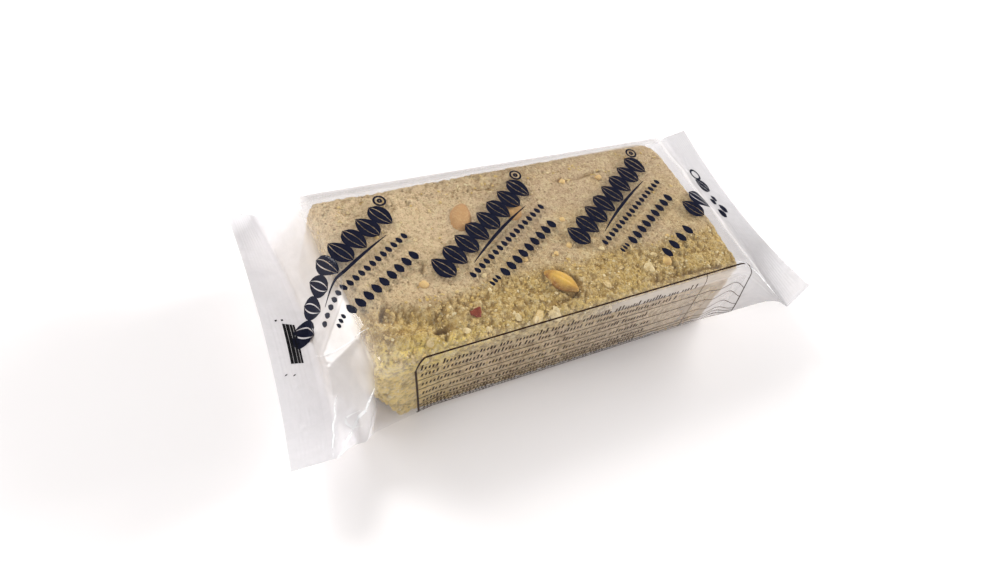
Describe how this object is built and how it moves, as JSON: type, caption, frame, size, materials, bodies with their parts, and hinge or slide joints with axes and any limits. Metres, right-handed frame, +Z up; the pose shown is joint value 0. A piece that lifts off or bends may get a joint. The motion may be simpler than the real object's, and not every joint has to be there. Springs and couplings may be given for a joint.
{
  "type": "sunflower halva in a clear flow-wrap pack",
  "caption": "Pressed sunflower halva block with peanuts, sealed in a clear flow-wrap film with a crimped fin at each end, lying flat.",
  "frame": {"origin": "centre of the pack's footprint, at the height of the surface that it lies on", "axes": "+X along the pack, from the fin nearest the eye mark to the other fin; +Y from the side panel with the ruled table to the back; +Z up"},
  "size_m": [0.2189, 0.097, 0.0375],
  "materials": {
    "halva_pack": "clear glossy film over matt, crumbly pressed seed paste",
    "film": "clear, thin, glossy and slightly hazy, with crimp ribs and creases",
    "halva": "matt, crumbly pressed seed paste with an oily sheen",
    "peanut": "roasted nut, satin",
    "ink": "flexographic ink, smooth, nearly black"
  },
  "bodies": {
    "root": {"halva_pack": "halva_pack"}
  },
  "joints": []
}
